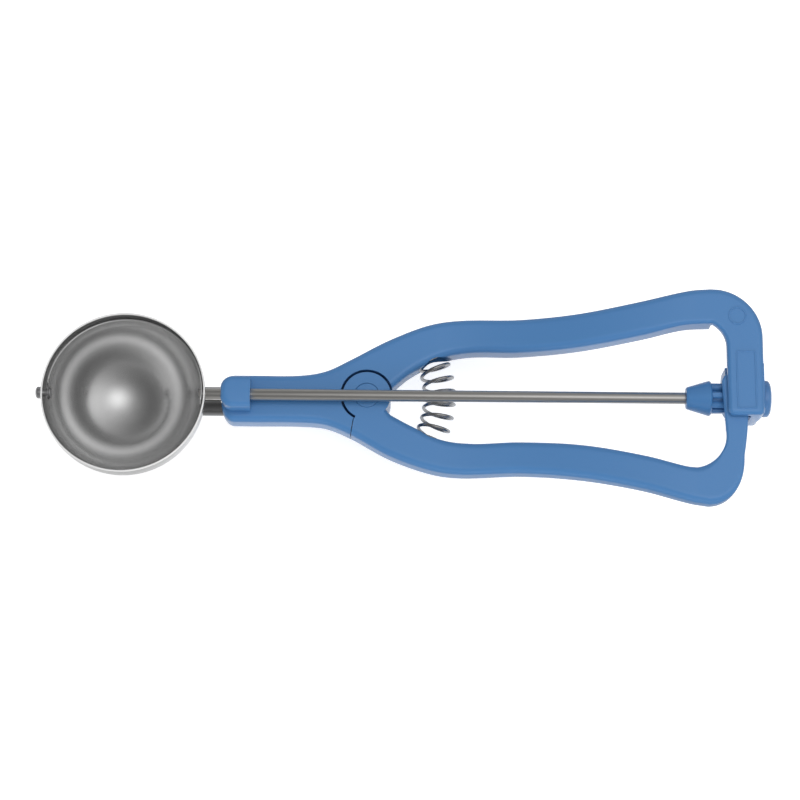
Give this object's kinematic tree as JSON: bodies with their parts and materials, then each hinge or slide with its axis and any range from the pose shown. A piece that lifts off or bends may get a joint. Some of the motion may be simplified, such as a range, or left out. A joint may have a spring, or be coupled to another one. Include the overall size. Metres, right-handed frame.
{
  "type": "lever ice cream scoop",
  "caption": "Squeeze-handle ice cream scoop: a lever arm drives a rack and pinion that turns a scraper blade through the steel bowl, and a coil spring opens it again.",
  "frame": {"origin": "on the ground under the middle of the scoop's length, level with the bowl's lowest point and on the rod's centre line", "axes": "+X from the bowl towards the handle's end along the rod, +Y from the lever arm towards the fixed arm, +Z out of the bowl's mouth"},
  "size_m": [0.2508, 0.0747, 0.0384],
  "materials": {
    "bowl_steel": "brushed",
    "stem_steel": "satin",
    "rod_steel": "satin",
    "rivet_steel": "satin",
    "pin_steel": "satin",
    "spring_steel": "satin",
    "handle_blue": "satin",
    "acetal": "smooth"
  },
  "bodies": {
    "fixed": {"fixed_handle": "handle_blue", "bowl": "bowl_steel", "stem": "stem_steel", "stem_pin": "pin_steel", "tip_rivet": "rivet_steel", "tip_washer": "pin_steel", "rod_bush": "acetal", "pivot_pin": "handle_blue", "pivot_clip": "pin_steel", "pivot_washer": "acetal", "end_bush": "acetal", "return_spring": "spring_steel"},
    "lever": {"lever": "handle_blue", "pivot_bush": "acetal"},
    "scraper_drive": {"rod": "rod_steel", "scraper": "bowl_steel", "pinion_sleeve": "handle_blue", "sleeve_pin": "pin_steel", "thrust_washer": "acetal", "end_button": "handle_blue"}
  },
  "joints": [
    {"name": "squeeze", "type": "hinge", "parent": "fixed", "child": "lever", "pos_m": [-0.0125, 0.0009, 0.0184], "axis": [0, 0, 1], "range_deg": [0, 6.1], "stiffness_Nm_per_rad": 2.5, "springref_deg": -25.78, "deforming": ["return_spring"]},
    {"name": "scraper_spin", "type": "hinge", "parent": "fixed", "child": "scraper_drive", "pos_m": [0, 0, 0.028], "axis": [1, 0, 0], "range_deg": [-170, 0]}
  ],
  "couplings": [
    {"joint": "scraper_spin", "follows": "squeeze", "ratio": -27.844}
  ]
}
